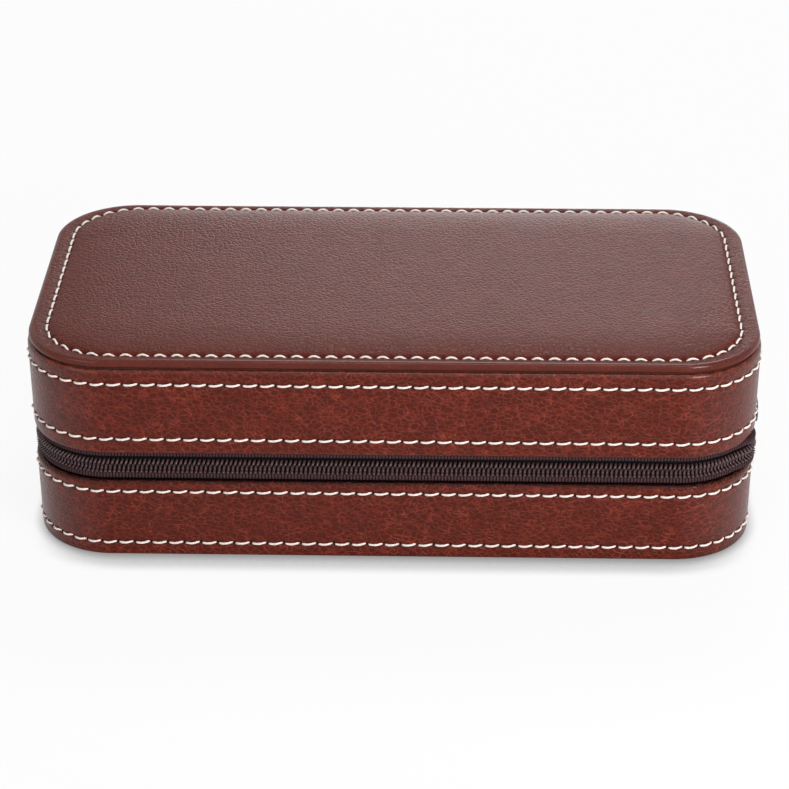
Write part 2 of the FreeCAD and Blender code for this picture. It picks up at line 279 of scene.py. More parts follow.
class Rim:
    """Points round a rounded rectangle, evenly spaced, anticlockwise from the middle of the front."""

    def __init__(self, half_x, half_y, radius, fractions):
        run, side, bend = half_x - radius, half_y - radius, radius * math.pi / 2
        steps = [run, bend, 2 * side, bend, 2 * run, bend, 2 * side, bend, run]
        marks = np.concatenate([[0], np.cumsum(steps)])
        self.length = marks[-1]
        s = np.mod(fractions, 1.0) * self.length
        self.corner_x = np.interp(s, marks, [0, 1, 1, 1, 1, -1, -1, -1, -1, 0])
        self.corner_y = np.interp(s, marks, [-1, -1, -1, 1, 1, 1, 1, -1, -1, -1])
        turn = np.interp(s, marks, np.radians([-90, -90, 0, 0, 90, 90, 180, 180, 270, 270]))
        self.out = np.stack([np.cos(turn), np.sin(turn), np.zeros_like(turn)], -1)

    def ring(self, half_x, half_y, radius, z):
        """Points of another rounded rectangle that match this rim's points one for one."""
        points = radius * self.out
        points[..., 0] += self.corner_x * (half_x - radius)
        points[..., 1] += self.corner_y * (half_y - radius)
        points[..., 2] = z
        return points


def wall_rim(fractions):
    """Rim of the outer wall at the given shares of its length."""
    s = sizes()
    return Rim(s.width / 2, s.depth / 2, s.corner_radius, fractions)


def wall_ring(rim, depth, z):
    """Points on the wall at a height, sunk by a depth that may vary along the rim."""
    s = sizes()
    inset = lean(z)
    points = rim.ring(s.width / 2 - inset, s.depth / 2 - inset, s.corner_radius - inset, z)
    return points - rim.out * np.broadcast_to(depth, rim.out.shape[:-1])[..., None]


def wall_length():
    """Length of the outer wall's outline."""
    return wall_rim(np.zeros(1)).length


def stitch_count():
    """Whole number of stitches round the wall."""
    return round(wall_length() / sizes().stitch_pitch)


# Meshes

def grid_faces(rows, columns, wrap_rows, wrap_columns):
    """Quads over a grid of points numbered row by row."""
    r = np.arange(rows if wrap_rows else rows - 1)
    c = np.arange(columns if wrap_columns else columns - 1)
    r, c = np.meshgrid(r, c, indexing="ij")
    r2, c2 = (r + 1) % rows, (c + 1) % columns
    quads = np.stack([r * columns + c, r * columns + c2, r2 * columns + c2, r2 * columns + c], -1)
    return quads.reshape(-1, 4).tolist()


def add_object(name, data):
    """Object put into the scene."""
    made = bpy.data.objects.new(name, data)
    bpy.context.scene.collection.objects.link(made)
    return made


def make_piece(name, points, faces, material, body, nodes=(), pressed=None):
    """Closed smooth mesh that rides on a body and stands for CAD nodes, with its places of painted shade and
    burnish marked.
    """
    mesh = bpy.data.meshes.new(name)
    mesh.from_pydata(np.asarray(points).reshape(-1, 3).tolist(), [], faces)
    work = bmesh.new()
    work.from_mesh(mesh)
    bmesh.ops.recalc_face_normals(work, faces=work.faces)
    work.to_mesh(mesh)
    work.free()
    mesh.shade_smooth()
    if pressed is not None:
        # marks of painted shade and burnish, stored under the attribute pressed
        mark = mesh.attributes.new("pressed", "FLOAT", "POINT")
        mark.data.foreach_set("value", np.asarray(pressed, np.float32).ravel())
    mesh.materials.append(material)
    piece = add_object(name, mesh)
    if body:
        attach(piece, body)
    if nodes:
        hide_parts(*nodes)
    return piece


def closed_band(profile_rings):
    """Points and faces of a band swept all the way round, from the rings of a closed section."""
    points = np.stack(profile_rings)
    return points, grid_faces(points.shape[0], points.shape[1], True, True)


def open_band(profile_rings):
    """Points and faces of a band with two ends, from the rings of a closed section."""
    points = np.stack(profile_rings)
    rows, columns = points.shape[:2]
    faces = grid_faces(rows, columns, True, False)
    faces.append([r * columns for r in range(rows)])
    faces.append([r * columns + columns - 1 for r in range(rows)])
    return points, faces


def tubes(paths, out, side, radius_out, radius_side, sides, twist=0.0):
    """Short closed tubes, one for each row of path points, with a section spanned by two directions."""
    count, steps = paths.shape[:2]
    turn = np.arange(sides) * 2 * math.pi / sides
    along = np.linspace(0, 1, steps)
    plies = 1 + twist * np.cos(2 * turn[None, :] - 6 * math.pi * along[:, None])
    section_out = radius_out * np.cos(turn) * plies
    section_side = radius_side * np.sin(turn) * plies
    points = (paths[:, :, None, :] + out[:, :, None, :] * section_out[None, :, :, None]
              + side[:, :, None, :] * section_side[None, :, :, None])
    one = grid_faces(steps, sides, False, True)
    one_caps = [list(range(sides)), [(steps - 1) * sides + k for k in range(sides)]]
    faces = []
    for i in range(count):
        start = i * steps * sides
        faces.extend([[start + k for k in face] for face in one])
        faces.extend([[start + k for k in face] for face in one_caps])
    return points, faces


# Materials

def add_node(tree, kind, inputs=None, **settings):
    """Adds a shader node, sets its settings and sets or links its inputs."""
    made = tree.nodes.new("ShaderNode" + kind)
    for key, value in settings.items():
        setattr(made, key, value)
    for key, value in (inputs or {}).items():
        if isinstance(value, bpy.types.NodeSocket):
            tree.links.new(value, made.inputs[key])
        else:
            made.inputs[key].default_value = value
    return made


def empty_tree(owner):
    """Emptied node tree of a material or world."""
    owner.use_nodes = True
    owner.node_tree.nodes.clear()
    return owner.node_tree


def new_material(name):
    """Material with its tree, shader and place in millimetres; these are None if it was made before."""
    found = bpy.data.materials.get(name)
    if found:
        return found, None, None, None
    material = bpy.data.materials.new(name)
    tree = empty_tree(material)
    shader = add_node(tree, "BsdfPrincipled")
    add_node(tree, "OutputMaterial", {"Surface": shader.outputs["BSDF"]})
    place = add_node(tree, "TexCoord")
    to_mm = add_node(tree, "VectorMath", {0: place.outputs["Object"], "Scale": 1 / MM}, operation="SCALE")
    return material, tree, shader, to_mm.outputs["Vector"]


def noise(tree, place, scale, detail, roughness=0.5):
    """Soft noise pattern."""
    made = add_node(tree, "TexNoise", {"Vector": place, "Scale": scale, "Detail": detail,
                                       "Roughness": roughness})
    return made.outputs["Fac"]


def ranged(tree, value, to, start=(0.0, 1.0), **settings):
    """Value moved from one range to another."""
    made = add_node(tree, "MapRange", {"Value": value, "From Min": start[0], "From Max": start[1],
                                       "To Min": to[0], "To Max": to[1]}, **settings)
    return made.outputs["Result"]


def combined(tree, operation, *values):
    """Result of one arithmetic step."""
    return add_node(tree, "Math", dict(enumerate(values)), operation=operation).outputs["Value"]


def tinted(tree, shader, colour, level):
    """Gives a shader a base colour, made lighter and darker by a level."""
    body = add_node(tree, "VectorMath", {0: colour, "Scale": level}, operation="SCALE")
    tree.links.new(body.outputs["Vector"], shader.inputs["Base Color"])


def raised(tree, shader, height, strength, distance):
    """Gives a shader the relief of a height pattern."""
    bump = add_node(tree, "Bump", {"Height": height, "Strength": strength, "Distance": distance})
    tree.links.new(bump.outputs["Normal"], shader.inputs["Normal"])


def set_values(shader, values):
    """Sets constants of a shader."""
    for key, value in values.items():
        shader.inputs[key].default_value = value


def painted_shade_and_burnish(tree):
    """Marks of a mesh: 1 for painted shade in holes, seams and grooves, behind the coil and below the zip,
    below 0 where the leather is burnished.
    """
    return add_node(tree, "Attribute", attribute_name="pressed").outputs["Fac"]


def blended(colour, other, share):
    """Colour part of the way from one to another."""
    return [a + (b - a) * share for a, b in zip(colour, other)]


def grained_leather(name, stretch, relief, roughness, dull, ior, contrast, shade):
    """Polyurethane leather, embossed with a pebble grain and wiped: dark cells, paler creases, soft shine."""
    material, tree, shader, place = new_material(name)
    if tree is None:
        return material
    tones = colours()
    cells_per_mm = MM / sizes().grain
    ground = blended(tones.leather, tones.leather_shade, shade)
    drawn = add_node(tree, "VectorMath", {0: place, 1: stretch}, operation="MULTIPLY").outputs["Vector"]
    wander = add_node(tree, "TexNoise", {"Vector": drawn, "Scale": 0.4, "Detail": 2.0})
    bend = add_node(tree, "VectorMath", {0: wander.outputs["Color"], 1: (1.7, 1.7, 1.7), 2: drawn},
                    operation="MULTIPLY_ADD").outputs["Vector"]
    cells, folds = [add_node(tree, "TexVoronoi", {"Vector": bend, "Scale": scale},
                             feature="DISTANCE_TO_EDGE").outputs["Distance"]
                    for scale in (cells_per_mm, cells_per_mm * 2.3)]
    both = combined(tree, "MULTIPLY_ADD", folds, 0.3, cells)
    shallow = ranged(tree, wander.outputs["Fac"], (-0.03, 0.06), (0.35, 0.7))
    grain = combined(tree, "ADD", both, shallow)
    tone = add_node(tree, "ValToRGB", {"Fac": grain})
    ramp = tone.color_ramp
    ramp.elements[0].position = 0.01
    ramp.elements[0].color = blended(ground, tones.leather_crease, contrast)
    ramp.elements[1].position = 0.25
    ramp.elements[1].color = blended(ground, tones.leather_shade, contrast)
    ramp.elements.new(0.07).color = ground
    pressed = painted_shade_and_burnish(tree)
    patches = ranged(tree, noise(tree, place, 0.12, 3.0), (0.9, 1.1), (0.3, 0.7))
    # painted shade: the marks darken needle holes, seam channels and the base's edge under the zip
    painted_shade = ranged(tree, pressed, (1.0, 0.12))
    tinted(tree, shader, tone.outputs["Color"], combined(tree, "MULTIPLY", patches, painted_shade))
    dome = ranged(tree, grain, (0.0, 1.0), (0.0, 0.26), interpolation_type="SMOOTHSTEP")
    pores = noise(tree, place, 4.0, 2.0)
    raised(tree, shader, combined(tree, "MULTIPLY_ADD", pores, 0.25, dome), 1.0, relief)
    tree.links.new(ranged(tree, dome, (roughness + dull, roughness)), shader.inputs["Roughness"])
    tree.links.new(ranged(tree, pressed, (0.0, 1.0), (0.0, -1.0)), shader.inputs["Coat Weight"])
    set_values(shader, {"IOR": ior, "Coat Roughness": 0.16})
    return material


def wall_leather():
    return grained_leather("polyurethane_leather_embossed_walls", stretch=(0.8, 0.8, 1.15), relief=0.19 * MM,
                           roughness=0.3, dull=0.14, ior=1.25, contrast=1.0, shade=0.0)


def panel_leather():
    return grained_leather("polyurethane_leather_embossed_panel", stretch=(1.05, 1.0, 1.0), relief=0.085 * MM,
                           roughness=0.35, dull=0.05, ior=1.17, contrast=0.3, shade=0.75)


def waxed_thread():
    """Polyester thread, twisted and waxed: a soft cream that is a little darker between the plies."""
    material, tree, shader, place = new_material("polyester_thread_twisted")
    if tree is None:
        return material
    fibres = noise(tree, place, 3.0, 2.0)
    tinted(tree, shader, colours().thread[:3], ranged(tree, fibres, (0.78, 1.08)))
    raised(tree, shader, fibres, 0.3, 0.1 * MM)
    set_values(shader, {"Roughness": 0.6, "Sheen Weight": 0.15})
    return material


def woven_tape():
    """Polyester zip tape, woven: fine ribs across the tape, nearly black, no shine, with painted shade in the
    grooves and behind the coil.
    """
    material, tree, shader, place = new_material("polyester_tape_woven")
    if tree is None:
        return material
    weave = noise(tree, place, 2.4, 3.0)
    # painted shade: rib grooves and the tape behind the coil are darkened almost to black
    between = ranged(tree, painted_shade_and_burnish(tree), (1.1, 0.04))
    level = combined(tree, "MULTIPLY", ranged(tree, weave, (0.6, 1.7)), between)
    tinted(tree, shader, colours().zip[:3], level)
    raised(tree, shader, weave, 0.4, 0.1 * MM)
    set_values(shader, {"Roughness": 0.7, "IOR": 1.2})
    return material


def wound_nylon():
    """Nylon wire, wound to a coil: dark, smooth, with small bright highlights."""
    material, tree, shader, place = new_material("nylon_coil_wound")
    if tree is None:
        return material
    haze = noise(tree, place, 0.8, 2.0)
    tinted(tree, shader, colours().zip[:3], ranged(tree, haze, (1.0, 1.9)))
    set_values(shader, {"Roughness": 0.32, "IOR": 1.45})
    return material


def painted_zinc():
    """Zinc alloy, die-cast and painted: dark satin paint with a faint orange peel."""
    material, tree, shader, place = new_material("zinc_die_cast_painted")
    if tree is None:
        return material
    peel = noise(tree, place, 2.0, 2.0)
    tinted(tree, shader, colours().metal[:3], ranged(tree, peel, (0.85, 1.2)))
    raised(tree, shader, peel, 0.08, 0.1 * MM)
    set_values(shader, {"Roughness": 0.35, "Coat Weight": 0.3})
    return material


def brushed_suede(name, shade):
    """Microfibre suede, brushed: a short nap that lies in soft patches, no shine, a pale edge."""
    material, tree, shader, place = new_material(name)
    if tree is None:
        return material
    patches = noise(tree, place, 0.09, 4.0, 0.6)
    nap = noise(tree, place, 2.2, 3.0)
    both = combined(tree, "MULTIPLY_ADD", patches, 0.6, nap)
    tinted(tree, shader, shade[:3], ranged(tree, both, (0.72, 1.25), (0.45, 1.15)))
    raised(tree, shader, nap, 0.35, 0.15 * MM)
    set_values(shader, {"Roughness": 0.92, "Sheen Weight": 0.25, "Sheen Roughness": 0.5, "Sheen Tint": shade})
    return material


def lining_suede():
    return brushed_suede("microfibre_suede_brushed_lining", colours().lining)


def pressed_board():
    """Greyboard, pressed from waste paper: dull, with darker fibres."""
    material, tree, shader, place = new_material("greyboard_pressed")
    if tree is None:
        return material
    fibres = noise(tree, place, 1.2, 5.0, 0.7)
    tinted(tree, shader, colours().board[:3], ranged(tree, fibres, (0.6, 1.4)))
    set_values(shader, {"Roughness": 0.9})
    return material


# Leather walls

def seam_points(count):
    """Shares along a seam at which its mesh has points."""
    points = count * POINTS_PER_STITCH
    return np.arange(points) / points


def hole_pattern(fractions, count, phase, pitch):
    """1 at each needle hole, falling to 0 between the holes."""
    place = np.mod(fractions * count - phase, 1.0)
    from_hole = np.minimum(place, 1 - place) * pitch
    return np.exp(-(from_hole / HOLE_RADIUS) ** 2)


def leather_wall(name, body, profile, rolls, node, zip_shadow_from=math.inf):
    """Leather band round the walls, drawn in at seams and needle holes, with painted shade there, burnished
    at rolls and corners.
    """
    s = sizes()
    count = stitch_count()
    fractions = seam_points(count)
    rim = wall_rim(fractions)
    corner = 2 * np.abs(rim.out[:, 0] * rim.out[:, 1])
    rows = [(z, hole_pattern(fractions, count, phase, s.stitch_pitch))
            for _, rides, z, phase in SEAMS if rides == body]
    outer_depth = s.leather / 2
    rings, marks = [], []
    for depth, z in profile:
        sunk = np.full(len(fractions), depth)
        mark = np.full(len(fractions), -BURNISH) if (depth, z) in rolls else -BURNISH * corner
        for row_z, holes in rows:
            if depth < outer_depth:
                channel = math.exp(-((z - row_z) / CHANNEL_WIDTH) ** 2)
                sunk = sunk + channel * (CHANNEL_DIP + HOLE_DIP * holes)
                # painted shade along the seam channel, darkest in the needle holes
                mark = mark * (1 - channel) + channel * (CHANNEL_SHADE + (1 - CHANNEL_SHADE) * holes)
        # painted shadow of the zip on the base's upper edge
        if z > zip_shadow_from:
            mark = np.maximum(mark, min(ZIP_SHADOW_DARKEST, (z - zip_shadow_from) / ZIP_SHADOW_REACH))
        rings.append(wall_ring(rim, sunk, z))
        marks.append(mark)
    points, faces = closed_band(rings)
    return make_piece(name, points, faces, wall_leather(), body, [node], marks)


def face_heights(body, start, end):
    """Heights up a wall face: close together at the seams, wide apart elsewhere."""
    marks = {start, end}
    for _, rides, row, _ in SEAMS:
        if rides == body:
            marks.update(row + step * MM for step in NEAR_SEAM)
    for step in range(1, FACE_STEPS):
        marks.add(start + (end - start) * step / FACE_STEPS)
    return sorted(z for z in marks if start <= z <= end)


class OBJECT_OT_watch_box_leather_walls(bpy.types.Operator):
    """Makes the two leather walls with their rolled edges, hems and seam channels"""
    bl_idname = "object.watch_box_leather_walls"
    bl_label = "Leather walls"

    def execute(self, context):
        s = sizes()
        roll = s.hem / 2
        arc = [math.radians(a) for a in (0, 25, 50, 75, 90, 115, 140, 165, 180)]
        ground, top = GROUND_ROLL, BROW_ROLL
        profile = [(ground - ground * math.sin(a), ground - ground * math.cos(a)) for a in ROLL_TURNS[:-1]]
        edge = BASE_EDGE - HEM_DROP["base"]
        profile += [(0.0, z) for z in face_heights("base", ground, edge - roll)]
        rolls = [(roll - roll * math.cos(a), edge - roll + roll * math.sin(a)) for a in arc[1:]]
        profile += rolls
        fold = edge - s.hem_height
        profile += [(s.hem, fold), (s.leather, fold - HEM_STEP), (s.leather, 0.02 * MM)]
        leather_wall("base_leather_wall", "base", profile, rolls, "base_wall_cover", edge - ZIP_SHADOW_REACH)
        edge = LID_EDGE - HEM_DROP["lid"]
        fold = edge + s.hem_height
        profile = [(s.leather, LID_WALL_TOP), (s.leather, fold + HEM_STEP), (s.hem, fold)]
        rolls = [(roll + roll * math.cos(a), edge + roll - roll * math.sin(a)) for a in arc[:-1]]
        profile += rolls
        profile += [(0.0, z) for z in face_heights("lid", edge + roll, LID_WALL_TOP - top)]
        brow = [(top - top * math.cos(a), LID_WALL_TOP - top + top * math.sin(a)) for a in ROLL_TURNS[1:]]
        profile += brow
        leather_wall("lid_leather_wall", "lid", profile, rolls + brow, "lid_wall_cover")
        return {"FINISHED"}


# Padded top panel

def panel_seam(fractions):
    """Rim of the sewn line on the top panel, with its half width, half depth and radius."""
    s = sizes()
    outline = (s.width / 2 - s.panel_seam_side, s.depth / 2 - s.panel_seam_front, s.panel_seam_radius)
    return Rim(*outline, fractions), outline


def panel_stitch_count():
    rim, _ = panel_seam(np.zeros(1))
    return round(rim.length / sizes().stitch_pitch)


class OBJECT_OT_watch_box_panel(bpy.types.Operator):
    """Makes the padded top panel with its rolled edge, sewn line and low crown"""
    bl_idname = "object.watch_box_panel"
    bl_label = "Padded top panel"

    def execute(self, context):
        s = sizes()
        count = panel_stitch_count()
        fractions = seam_points(count)
        rim, seam = panel_seam(fractions)
        holes = hole_pattern(fractions, count, 0.0, s.stitch_pitch)
        edge_profile = [(inset * MM, PANEL_BOTTOM + z * MM) for inset, z in PANEL_LOWER]
        edge_profile += [(inset * MM, PANEL_EDGE + z * MM) for inset, z in PANEL_UPPER]
        rings = [rim.ring(s.width / 2 - d, s.depth / 2 - d, s.corner_radius - d, z) for d, z in edge_profile]
        border = rings[-1]
        sewn = rim.ring(*seam, PANEL_EDGE - PANEL_SEAM_DIP)
        for share, lift in PANEL_BORDER:
            ring = border * (1 - share) + sewn * share
            ring[:, 2] = PANEL_EDGE + lift * MM - holes * PANEL_RIM_DIP * share ** 4
            rings.append(ring)
        seam_row = len(rings)
        sewn[:, 2] -= holes * PANEL_HOLE_DIP
        rings.append(sewn)
        rise = PANEL_TOP - PANEL_EDGE
        for inset, share in PANEL_CROWN:
            d = inset * MM
            z = PANEL_EDGE + rise * share
            ring = rim.ring(seam[0] - d, seam[1] - d, seam[2] - d, z)
            ring[:, 2] -= holes * PANEL_RIM_DIP * math.exp(-(d / CHANNEL_WIDTH) ** 2)
            rings.append(ring)
        inner = rings[-1]
        for scale in (0.9, 0.75, 0.6, 0.45, 0.3, 0.15, 0.05):
            ring = inner * scale
            ring[:, 2] = PANEL_TOP - (1 - PANEL_CROWN[-1][1]) * rise * scale ** 2
            rings.append(ring)
        points = np.stack(rings)
        rows, columns = points.shape[:2]
        faces = grid_faces(rows, columns, False, True)
        faces.append(list(range(columns)))
        faces.append([(rows - 1) * columns + k for k in range(columns)])
        marks = np.zeros((rows, columns))
        marks[2:len(edge_profile) - 2] = -BURNISH
        # painted shade in the panel's seam and needle holes, and beside them
        marks[seam_row] = PANEL_SEAM_SHADE + (1 - PANEL_SEAM_SHADE) * holes
        marks[seam_row - 1] = marks[seam_row + 1] = HOLE_RIM_SHADE * holes
        panel = make_piece("lid_padded_panel", points, faces, panel_leather(), "lid",
                           ["lid_panel_cover", "lid_panel_padding"], marks)
        return {"FINISHED"}


# Stitching

def stitch_paths(count, phase, gap):
    """Shares along a seam for each stitch, with its rise and its slant across the seam."""
    u = np.linspace(0, 1, STITCH_STEPS)
    along = gap + (1 - 2 * gap) * u
    fractions = (np.arange(count)[:, None] + phase + along[None, :]) / count
    rise = -STITCH_SINK + STITCH_RISE * np.sin(math.pi * u) ** 0.8
    slant = STITCH_SLANT * (u - 0.5)
    uneven = 1 + STITCH_UNEVEN * np.sin(np.arange(count) * 2.4)[:, None]
    return fractions, rise[None, :, None], (slant[None, :] * uneven)[..., None]


def add_stitches(name, body, base, out, side, rise, slant):
    """One row of thread stitches, each an arch that dives into its needle holes."""
    radius = sizes().thread / 2
    paths = base + out * rise + side * slant
    points, faces = tubes(paths, out, side, radius * 0.9, radius, sides=10, twist=0.07)
    return make_piece(name, points, faces, waxed_thread(), body)


class OBJECT_OT_watch_box_stitching(bpy.types.Operator):
    """Makes the five rows of contrast stitching"""
    bl_idname = "object.watch_box_stitching"
    bl_label = "Stitching"

    def execute(self, context):
        for name, body, z, phase in SEAMS:
            fractions, rise, slant = stitch_paths(stitch_count(), phase, WALL_GAP)
            rim = wall_rim(fractions)
            up = np.broadcast_to((0.0, 0.0, 1.0), rim.out.shape)
            add_stitches(name, body, wall_ring(rim, 0.0, z), rim.out, up, rise, slant)
        fractions, rise, slant = stitch_paths(panel_stitch_count(), 0.0, PANEL_GAP)
        rim, seam = panel_seam(fractions)
        up = np.broadcast_to((0.0, 0.0, 1.0), rim.out.shape)
        base = rim.ring(*seam, PANEL_EDGE - PANEL_THREAD_SINK)
        add_stitches("seam_panel", "lid", base, up, rim.out, rise, slant)
        return {"FINISHED"}


# Zip

def corner_bulge(s):
    """How far the zip is pushed out at the front right corner, by the length along it."""
    share = np.clip(1 - np.abs(s - CORNER_MIDDLE) / CORNER_REACH, 0, 1)
    return CORNER_BULGE * share * share * (3 - 2 * share)


def zip_tape(name, body, side, node):
    """Woven tape that bulges out between the leather edge and the coil, with a rib for each weft and painted
    shade in the grooves and behind the coil.
    """
    steps = int(2 * TAPE_REACH / (RIB_PITCH / RIB_STEPS))
    s = np.linspace(-TAPE_REACH, TAPE_REACH, steps)
    rim = wall_rim(s / wall_length())
    start, end = SLIDER_RUN
    fade = np.clip((np.abs(s - (start + end) / 2) - (end - start) / 2) / RUN_FADE, 0, 1)
    bulge = TAPE_BULGE * fade * fade * (3 - 2 * fade)
    out = corner_bulge(s)
    groove = np.clip(np.cos(2 * math.pi * s / RIB_PITCH), 0, 1)
    bare = np.clip(np.maximum(s - CHAIN_RIGHT, -CHAIN_LEFT - s) / BARE_FADE, 0, 1)
    rings, backs, marks = [], [], []
    for depth, height, share in TAPE_LINES[body]:
        d, z = depth * MM, ZIP_LEVEL + side * height * MM
        push = bulge * share + out * min(1, (1 - height * MM / TAPE_FOOT) * CORNER_SPREAD)
        ribbed = min(1, share)
        rings.append(wall_ring(rim, d - TAPE_HALF - push + RIB_DEPTH * groove * ribbed, z))
        backs.append(wall_ring(rim, d + TAPE_HALF - push, z))
        # painted shade in the rib grooves and on the unribbed tape behind the coil; past the coil's ends only
        # in the grooves
        marks.append(1 - np.maximum(ribbed, bare) * (1 - groove))
    rings += backs[::-1]
    marks += [np.zeros(steps)] * len(backs)
    points, faces = open_band(rings)
    return make_piece(name, points, faces, woven_tape(), body, [node], marks)


def zip_coil(name, body, node):
    """One half of the coil: turns that lean and reach past the middle, between those of the other half."""
    pitch = sizes().coil_pitch
    count = int((CHAIN_LEFT + CHAIN_RIGHT) / pitch)
    u = np.linspace(0, 1, COIL_STEPS)
    turns = -CHAIN_LEFT + (np.arange(count)[:, None] + COIL_SHIFT[body]) * pitch
    s = turns + COIL_LEAN[body] * (u - 0.5)
    parted = np.clip((turns - CHAIN_PARTS) / CHAIN_PARTED, 0, 1)
    first, last, crest, width = [a + (b - a) * parted for a, b in zip(COIL_TURNS[body], COIL_PARTED[body])]
    height = (first + (last - first) * u) * MM
    depth = COIL_DEPTH - COIL_RIDGE * np.exp(-((u - crest) / width) ** 2)
    rim = wall_rim(s / wall_length())
    paths = wall_ring(rim, depth - corner_bulge(s), ZIP_LEVEL)
    paths[..., 2] += height
    across = np.stack([-rim.out[..., 1], rim.out[..., 0], np.zeros_like(rim.out[..., 0])], -1)
    points, faces = tubes(paths, rim.out, across, *COIL_WIRE, sides=8)
    return make_piece(name, points, faces, wound_nylon(), body, [node])


class OBJECT_OT_watch_box_zip(bpy.types.Operator):
    """Makes the zip: ribbed tapes and the two halves of the coil"""
    bl_idname = "object.watch_box_zip"
    bl_label = "Zip"

    def execute(self, context):
        for body, side in (("base", -1), ("lid", 1)):
            zip_tape("zip_woven_tape_" + body, body, side, "zip_tape_" + body)
            zip_coil("zip_wound_coil_" + body, body, "zip_coil_" + body)
        return {"FINISHED"}


def dress_node(node, material, bevel=0.0):
    """Gives a CAD node its material and, for sharp edges, a small rounding."""
    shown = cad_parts[node]
    shown.data.materials.clear()
    shown.data.materials.append(material)
    if bevel:
        rounding = shown.modifiers.new("edge_rounding", "BEVEL")
        rounding.width = bevel
        rounding.segments = 3
        rounding.angle_limit = math.radians(40)


class OBJECT_OT_watch_box_zip_metal(bpy.types.Operator):
    """Finishes the slider, the puller and the stops at the closed end of the zip"""
    bl_idname = "object.watch_box_zip_metal"
    bl_label = "Slider and puller"

    def execute(self, context):
        dress_node("zip_slider_body", painted_zinc(), bevel=0.18 * MM)
        dress_node("zip_puller", painted_zinc(), bevel=0.22 * MM)
        dress_node("zip_top_stop_base", wound_nylon())
        dress_node("zip_top_stop_lid", wound_nylon())
        return {"FINISHED"}


# Hinge

class OBJECT_OT_watch_box_hinge(bpy.types.Operator):
    """Makes the leather hinge strip at the rear"""
    bl_idname = "object.watch_box_hinge"
    bl_label = "Hinge strip"

    def execute(self, context):
        (_, _, z0), (_, _, z1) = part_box("hinge_strip")
        rim_length = wall_length()
        half = rim_length / 2 - TAPE_REACH + HINGE_LAP
        rim = wall_rim(0.5 + np.linspace(-half, half, HINGE_POINTS[0]) / rim_length)
        heights = np.linspace(z0, z1, HINGE_POINTS[1])
        front, back = HINGE_DEPTHS
        rings = [wall_ring(rim, front, z) for z in heights]
        rings += [wall_ring(rim, back, z) for z in heights[::-1]]
        points, faces = open_band(rings)
        strip = make_piece("hinge_leather_strip", points, faces, wall_leather(), None,
                           ["hinge_strip"])
        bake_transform(strip)
        return {"FINISHED"}


# Lining

def wall_lining(name, body, node, up):
    """Suede-wrapped card round the inside, with its rounded rim up (1) or down (-1)."""
    outer, inner = LINING_DEPTHS
    r = (inner - outer) / 2
    middle = (inner + outer) / 2
    rim = wall_rim(np.arange(LINING_POINTS) / LINING_POINTS)
    arc = [math.radians(a) for a in range(0, 181, 20)]
    far, edge = (low(node), high(node))[::up]
    profile = [(outer, far)]
    profile += [(middle - r * math.cos(a), edge - up * r + up * r * math.sin(a)) for a in arc]
    profile += [(inner, far)]
    points, faces = closed_band([wall_ring(rim, d, z) for d, z in profile])
    return make_piece(name, points, faces, lining_suede(), body, [node])


class OBJECT_OT_watch_box_lining(bpy.types.Operator):
    """Makes the lined walls and finishes the floor, ceiling and dividers"""
    bl_idname = "object.watch_box_lining"
    bl_label = "Lining"

    def execute(self, context):
        wall_lining("base_suede_wall", "base", "base_wall_lining", 1)
        wall_lining("lid_suede_wall", "lid", "lid_wall_lining", -1)
        for node in ("base_floor_lining", "lid_ceiling_lining", "bay_divider_left", "bay_divider_right"):
            dress_node(node, lining_suede(), bevel=0.3 * MM)
        return {"FINISHED"}


# Cushions

def swell(piece):
    """Fills a cushion with air by a short cloth simulation and keeps the result."""
    remesh = piece.modifiers.new("even", "REMESH")
    remesh.mode = "VOXEL"
    remesh.voxel_size = CUSHION_MESH
    bpy.context.view_layer.objects.active = piece
    piece.select_set(True)
    bpy.ops.object.modifier_apply(modifier="even")
    start = np.array([v.co for v in piece.data.vertices])
    cloth = piece.modifiers.new("filling", "CLOTH")
    cloth.settings.use_pressure = True
    cloth.settings.uniform_pressure_force = CUSHION_PRESSURE
    cloth.settings.effector_weights.gravity = 0
    cloth.settings.tension_stiffness = CUSHION_STIFFNESS
    cloth.settings.compression_stiffness = CUSHION_STIFFNESS
    scene = bpy.context.scene
    for number in range(1, CUSHION_FRAMES + 1):
        scene.frame_set(number)
    shaped = piece.evaluated_get(bpy.context.evaluated_depsgraph_get())
    end = np.array([v.co for v in shaped.data.vertices])
    piece.modifiers.remove(cloth)
    scene.frame_set(1)
    move = end - start
    far = np.linalg.norm(move, axis=1, keepdims=True)
    move = move * np.minimum(1, CUSHION_REACH / np.maximum(far, 1e-9))
    return start + move


def cushion_piping(tree, half):
    """Points and faces of the two sewn cords round a cushion, laid on its surface."""
    turn = np.linspace(0, 2 * math.pi, PIPING_POINTS, endpoint=False)
    out = np.stack([np.zeros_like(turn), np.cos(turn), np.sin(turn)], -1)
    ways = [Vector(way) for way in out]
    side = np.array([1.0, 0, 0])
    radius = PIPING_RADIUS
    section = np.arange(PIPING_SIDES) * 2 * math.pi / PIPING_SIDES
    points, faces = [], []
    for x in (-CUSHION_SEAM * half[0], CUSHION_SEAM * half[0]):
        loop = np.array([tree.ray_cast(Vector((x, 0, 0)) + way * RAY_START, -way)[0] for way in ways])
        start = sum(len(p) for p in points)
        points.append(np.concatenate([loop + radius * (out * (math.cos(b) - PIPING_SINK) + side * math.sin(b))
                                      for b in section]))
        faces += [[start + k for k in face] for face in grid_faces(PIPING_SIDES, PIPING_POINTS, True, True)]
    return np.concatenate(points), faces


